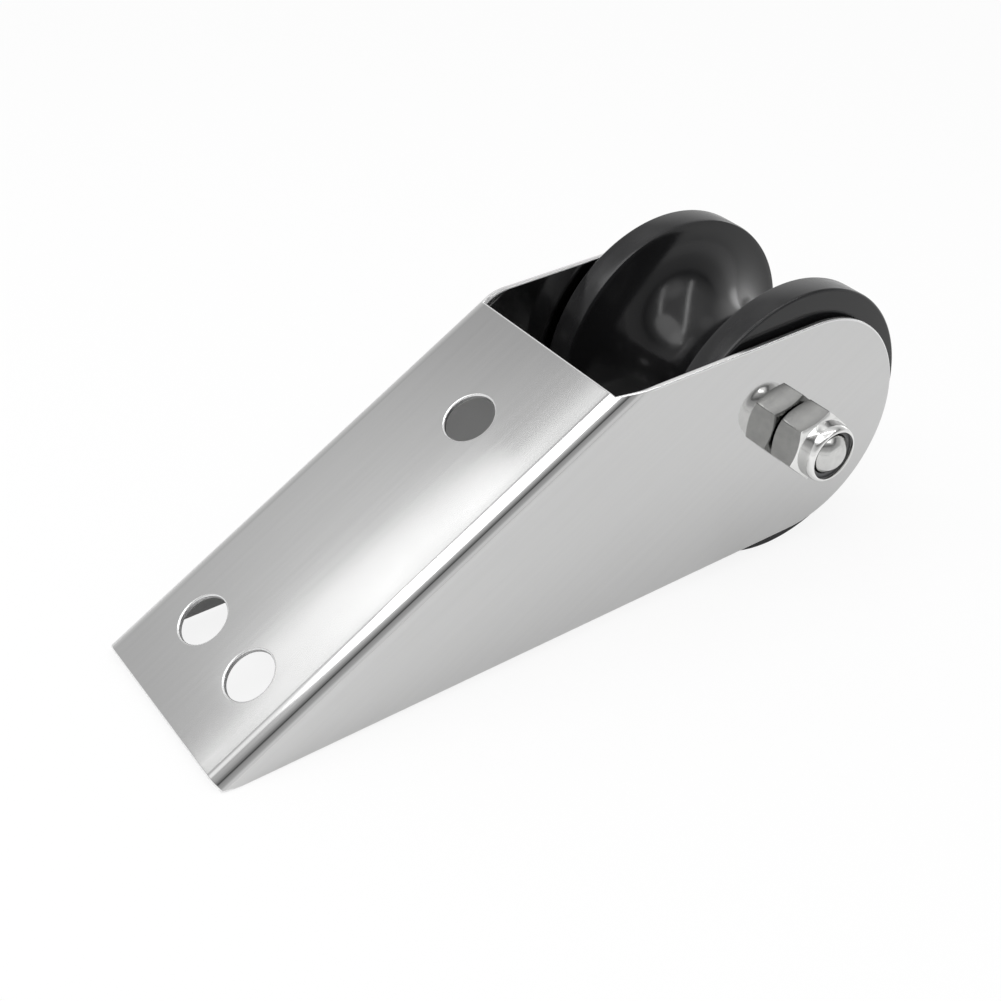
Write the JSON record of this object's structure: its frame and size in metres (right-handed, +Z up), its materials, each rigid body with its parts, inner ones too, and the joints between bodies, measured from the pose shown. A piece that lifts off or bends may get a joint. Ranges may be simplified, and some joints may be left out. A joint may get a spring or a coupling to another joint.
{
  "type": "bow roller",
  "caption": "Bent stainless channel with a sloping bolt-down web and a grooved black roller on a bolt between its cheeks, to lead an anchor rope over a boat's bow.",
  "frame": {"origin": "on the web's outer face, the deck face, midway between the two tail bolt holes", "axes": "+Z up as the part stands on a bench on its tail and its roller's rims, deck face upwards; +X from the tail towards the roller; +Y towards the far cheek, away from the nut, along the axle"},
  "size_m": [0.1935, 0.0773, 0.0719],
  "materials": {
    "sheet_steel": "mirror polish",
    "bolt_steel": "bright drawn",
    "nut_steel": "bright cold formed",
    "roller_rubber": "smooth moulded, slight sheen",
    "bush_nylon": "turned",
    "washer_nylon": "moulded",
    "insert_nylon": "moulded"
  },
  "bodies": {
    "bracket": {"channel_bracket": "sheet_steel", "near_thrust_washer": "washer_nylon", "far_thrust_washer": "washer_nylon", "axle_bolt": "bolt_steel", "lock_nut": "nut_steel", "lock_nut_insert": "insert_nylon"},
    "roller_body": {"roller": "roller_rubber", "roller_bush": "bush_nylon"}
  },
  "joints": [
    {"name": "roller_spin", "type": "hinge", "parent": "bracket", "child": "roller_body", "pos_m": [0.14033, 0, 0.02313], "axis": [0, 1, 0], "continuous": true}
  ]
}
